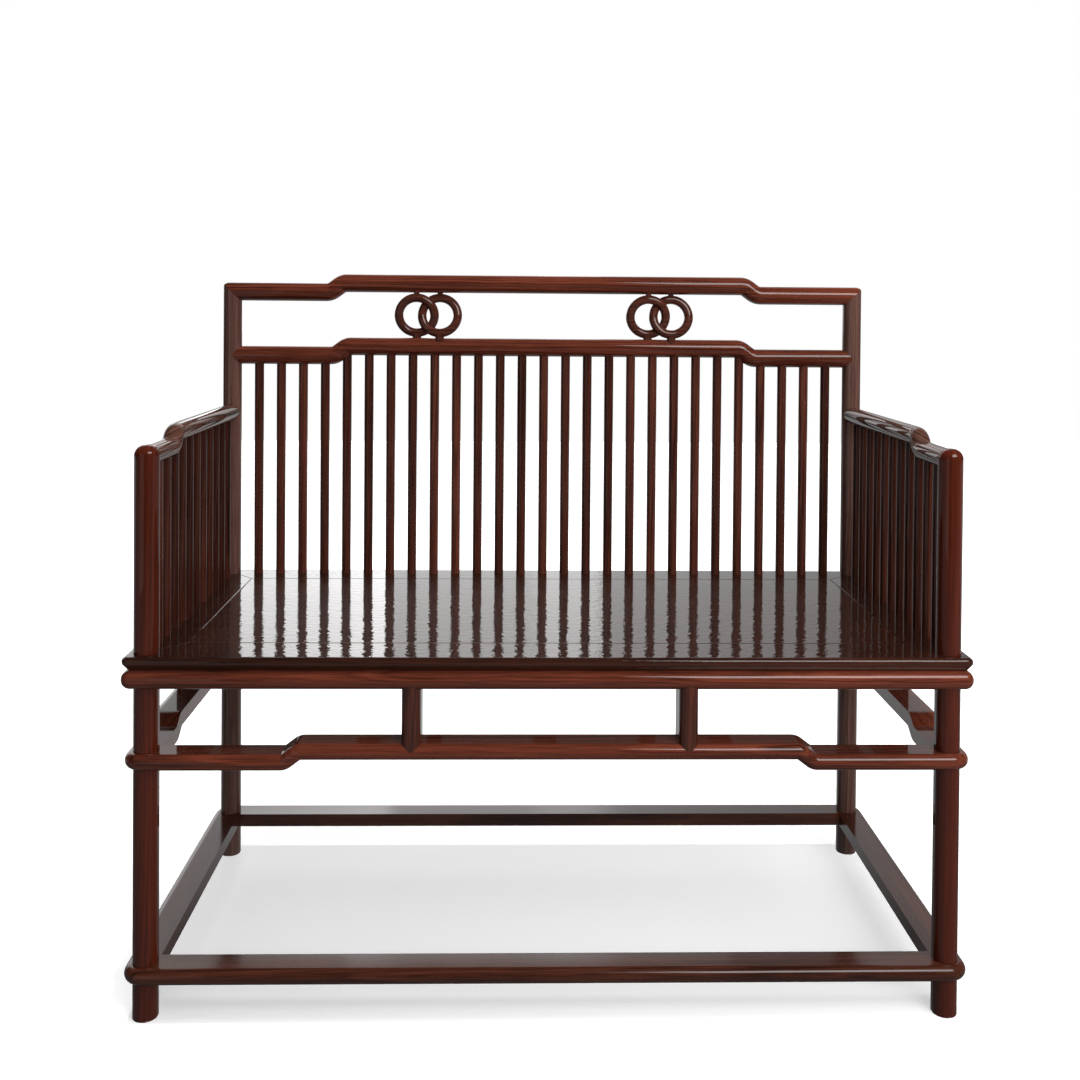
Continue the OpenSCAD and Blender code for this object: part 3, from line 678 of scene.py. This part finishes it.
class BENCH_OT_stage(bpy.types.Operator):
    """Adds the floor, the white studio, the lamps and the camera"""

    bl_idname = "bench.stage"
    bl_label = "Set Up Studio"

    def execute(self, context):
        stage = context.scene.bench_stage
        self.floor(stage)
        self.surround(stage)
        middle = (0.0, 0.0, 0.5)
        lamp("Key_Softbox", "AREA", (1.1, -1.7, 2.1), middle, stage.key_power, (1.5, 0.9))
        lamp("Front_Fill", "AREA", (1.3, -2.8, 1.4), middle, stage.fill_power, (1.4, 1.4),
             glossy=False)
        lamp("Side_Fill", "AREA", (1.5, -1.3, 0.9), middle, stage.side_power, (0.8, 0.8),
             glossy=False, shadow=False)
        lamp("Back_Fill", "AREA", (-0.9, 2.9, 1.1), middle, stage.back_power, (1.8, 1.2),
             glossy=False)
        lamp("Side_Strip", "AREA", (-1.6, -2.2, 0.6), (0.0, 0.0, 0.6), stage.strip_power,
             (1.5, 1.4), diffuse=False)
        lamp("Top_Fill", "AREA", (0.0, -0.7, 3.0), middle, stage.top_power, (2.4, 1.2),
             glossy=False)
        # Window panel behind on the left, which only the lacquer mirrors
        lamp("Window_Panel", "AREA", (-0.68, 2.0, 1.03), (-0.68, 0.0, 1.03), stage.window,
             (0.5, 0.45), diffuse=False)
        # Two lamps far overhead, leaning opposite ways, leave a shadow a little smaller than the seat
        for place in [(0.9, -1.25, 10.0), (-0.9, 0.58, 10.0)]:
            lamp("Overhead", "SUN", place, (0.0, 0.0, 0.0), stage.top_strength, glossy=False)
        self.camera(context)
        return {"FINISHED"}

    def floor(self, stage):
        """Pale floor: the camera sees it white with the bench's shadow, and the lacquer mirrors it
        dark in front of the bench and bright behind it"""
        material = bpy.data.materials.new("painted_studio_floor")
        material.use_nodes = True
        tree = material.node_tree
        tree.nodes.clear()
        path = add(tree, "ShaderNodeLightPath").outputs
        where = add(tree, "ShaderNodeTexCoord").outputs["Object"]
        back = add(tree, "ShaderNodeSeparateXYZ", None, {0: where}).outputs["Y"]
        # The seat's shadow is even, so its back gets a little more light, and the far floor is white
        even = add(tree, "ShaderNodeMapRange", {"interpolation_type": "SMOOTHSTEP"},
                   {"Value": back, "From Min": -0.2, "From Max": 0.35,
                    "To Min": stage.shadow_lift, "To Max": stage.shadow_lift + 0.18})
        away = add(tree, "ShaderNodeVectorMath", {"operation": "LENGTH"}, {0: where})
        far = add(tree, "ShaderNodeMapRange", {"interpolation_type": "SMOOTHSTEP"},
                  {"Value": away.outputs["Value"], "From Min": 0.8, "From Max": 2.0, "To Max": 0.5})
        lit = add(tree, "ShaderNodeMath", {"operation": "ADD"}, {0: even, 1: far})
        lift = add(tree, "ShaderNodeEmission", None, {"Strength": lit})
        paint = add(tree, "ShaderNodeBsdfDiffuse", None, {"Color": (0.8, 0.8, 0.8, 1.0)})
        seen = add(tree, "ShaderNodeAddShader", None, {0: paint, 1: lift})

        along = add(tree, "ShaderNodeMapRange", None,
                    {"Value": back, "From Min": FLOOR_SPAN[0], "From Max": FLOOR_SPAN[1]})
        sweep = add(tree, "ShaderNodeValToRGB", None, {"Fac": along},
                    [(at, (level,) * 3) for at, level in FLOOR_LEVELS])
        mirrored = add(tree, "ShaderNodeEmission", None,
                       {"Color": sweep, "Strength": stage.floor_mirror})
        plain = add(tree, "ShaderNodeBsdfDiffuse", None, {"Color": (0.2, 0.2, 0.2, 1.0)})
        other = add(tree, "ShaderNodeMixShader", None,
                    {0: path["Is Glossy Ray"], 1: plain, 2: mirrored})
        either = add(tree, "ShaderNodeMixShader", None,
                     {0: path["Is Camera Ray"], 1: other, 2: seen})
        add(tree, "ShaderNodeOutputMaterial", None, {"Surface": either})
        reach = 6.0
        mesh = bpy.data.meshes.new("floor")
        mesh.from_pydata(
            [(-reach, -reach, 0), (reach, -reach, 0), (reach, reach, 0), (-reach, reach, 0)],
            [], [(0, 1, 2, 3)],
        )
        mesh.materials.append(material)
        floor = bpy.data.objects.new("floor", mesh)
        bpy.context.collection.objects.link(floor)

    def surround(self, stage):
        """White for the camera; the lacquer mirrors a paper backdrop that darkens to the right"""
        world = bpy.data.worlds.new("Studio")
        bpy.context.scene.world = world
        world.use_nodes = True
        tree = world.node_tree
        tree.nodes.clear()
        where = add(tree, "ShaderNodeTexCoord").outputs["Generated"]
        parts = add(tree, "ShaderNodeSeparateXYZ", None, {0: where}).outputs

        behind = add(tree, "ShaderNodeMapRange", {"interpolation_type": "SMOOTHSTEP"},
                     {"Value": parts["Y"], "From Min": 0.5, "From Max": 0.75,
                      "To Max": stage.backdrop})
        # Sheets of paper side by side, of which the one near the middle is the brightest
        across = add(tree, "ShaderNodeMapRange", None,
                     {"Value": parts["X"], "From Min": -0.4, "From Max": 0.4})
        sheets = add(tree, "ShaderNodeValToRGB", None, {"Fac": across},
                     [(at, (level,) * 3) for at, level in PAPER_LEVELS])
        # The paper begins above the horizon, and on the far left below it
        edge = add(tree, "ShaderNodeMapRange", None,
                   {"Value": parts["X"], "From Min": -0.28, "From Max": -0.3,
                    "To Min": 0.07, "To Max": -0.06})
        above = add(tree, "ShaderNodeMath", {"operation": "SUBTRACT"}, {0: parts["Z"], 1: edge})
        start = add(tree, "ShaderNodeMapRange", {"interpolation_type": "SMOOTHSTEP"},
                    {"Value": above, "From Max": 0.1, "To Min": 0.1})
        height = add(tree, "ShaderNodeMapRange", {"interpolation_type": "SMOOTHSTEP"},
                     {"Value": parts["Z"], "From Min": 0.3, "From Max": 0.42,
                      "To Min": 1.0, "To Max": 1.15})
        paper = add(tree, "ShaderNodeMath", {"operation": "MULTIPLY"}, {0: sheets, 1: start})
        paper = add(tree, "ShaderNodeMath", {"operation": "MULTIPLY"}, {0: paper, 1: height})
        mirrored = add(tree, "ShaderNodeMath", {"operation": "MULTIPLY_ADD"},
                       {0: behind, 1: paper, 2: 0.03})
        path = add(tree, "ShaderNodeLightPath").outputs
        soft = add(tree, "ShaderNodeMix", {"data_type": "FLOAT"},
                   {0: path["Is Glossy Ray"], 2: stage.ambient, 3: mirrored})
        level = add(tree, "ShaderNodeMix", {"data_type": "FLOAT"},
                    {0: path["Is Camera Ray"], 2: soft, 3: 1.0})
        sky = add(tree, "ShaderNodeBackground", None,
                  {"Color": (1.0, 1.0, 1.0, 1.0), "Strength": level})
        add(tree, "ShaderNodeOutputWorld", None, {"Surface": sky})

    def camera(self, context):
        """Camera with the place, turn and lens that were fitted to the photograph"""
        data = bpy.data.cameras.new("Camera")
        data.sensor_width = SENSOR
        data.lens = FOCAL_LENGTH * SENSOR / PHOTO_WIDTH
        data.shift_y = -(PHOTO_WIDTH / 2 - AXIS_ROW) / PHOTO_WIDTH
        item = bpy.data.objects.new("Camera", data)
        context.collection.objects.link(item)
        item.matrix_world = camera_matrix(YAW, PITCH, ROLL, CAMERA_PLACE)
        context.scene.camera = item
        context.scene.view_settings.view_transform = "Standard"


def camera_matrix(yaw, pitch, roll, place):
    """World matrix of a camera that looks along +Y, turned by these angles"""
    sy, cy, sp, cp, sr, cr = (part(angle) for angle in (yaw, pitch, roll)
                              for part in (math.sin, math.cos))
    turn_z = Matrix(((cy, sy, 0), (-sy, cy, 0), (0, 0, 1)))
    turn_x = Matrix(((1, 0, 0), (0, cp, -sp), (0, sp, cp)))
    turn_y = Matrix(((cr, 0, -sr), (0, 1, 0), (sr, 0, cr)))
    rows = turn_y @ turn_x @ turn_z
    matrix = Matrix((rows[0], rows[2], -rows[1])).transposed().to_4x4()
    matrix.translation = place
    return matrix


class BENCH_PT_panel(bpy.types.Panel):
    """Lists the bench's sizes, colours and steps"""

    bl_label = "Hardwood Bench"
    bl_idname = "BENCH_PT_panel"
    bl_space_type = "VIEW_3D"
    bl_region_type = "UI"
    bl_category = "Bench"

    def draw(self, context):
        for group in ("bench_spindles", "bench_wood", "bench_stage"):
            box = self.layout.box()
            settings = getattr(context.scene, group)
            for name in settings.bl_rna.properties.keys():
                if name not in ("rna_type", "name"):
                    box.prop(settings, name)
        for step in STEPS:
            self.layout.operator(step.bl_idname)


STEPS = [
    BENCH_OT_spindles,
    BENCH_OT_posts,
    BENCH_OT_rails,
    BENCH_OT_rings_and_struts,
    BENCH_OT_seat,
    BENCH_OT_stretchers,
    BENCH_OT_stage,
]
GROUPS = {"bench_spindles": BenchSpindles, "bench_wood": BenchWood, "bench_stage": BenchStage}


def register():
    for item in [*GROUPS.values(), *STEPS, BENCH_PT_panel]:
        bpy.utils.register_class(item)
    for name, group in GROUPS.items():
        setattr(bpy.types.Scene, name, bpy.props.PointerProperty(type=group))


def unregister():
    for name in GROUPS:
        delattr(bpy.types.Scene, name)
    for item in reversed([*GROUPS.values(), *STEPS, BENCH_PT_panel]):
        bpy.utils.unregister_class(item)


def main():
    register()
    bpy.ops.bench.spindles()
    bpy.ops.bench.posts()
    bpy.ops.bench.rails()
    bpy.ops.bench.rings_and_struts()
    bpy.ops.bench.seat()
    bpy.ops.bench.stretchers()
    bpy.ops.bench.stage()


if __name__ == "__main__":
    main()
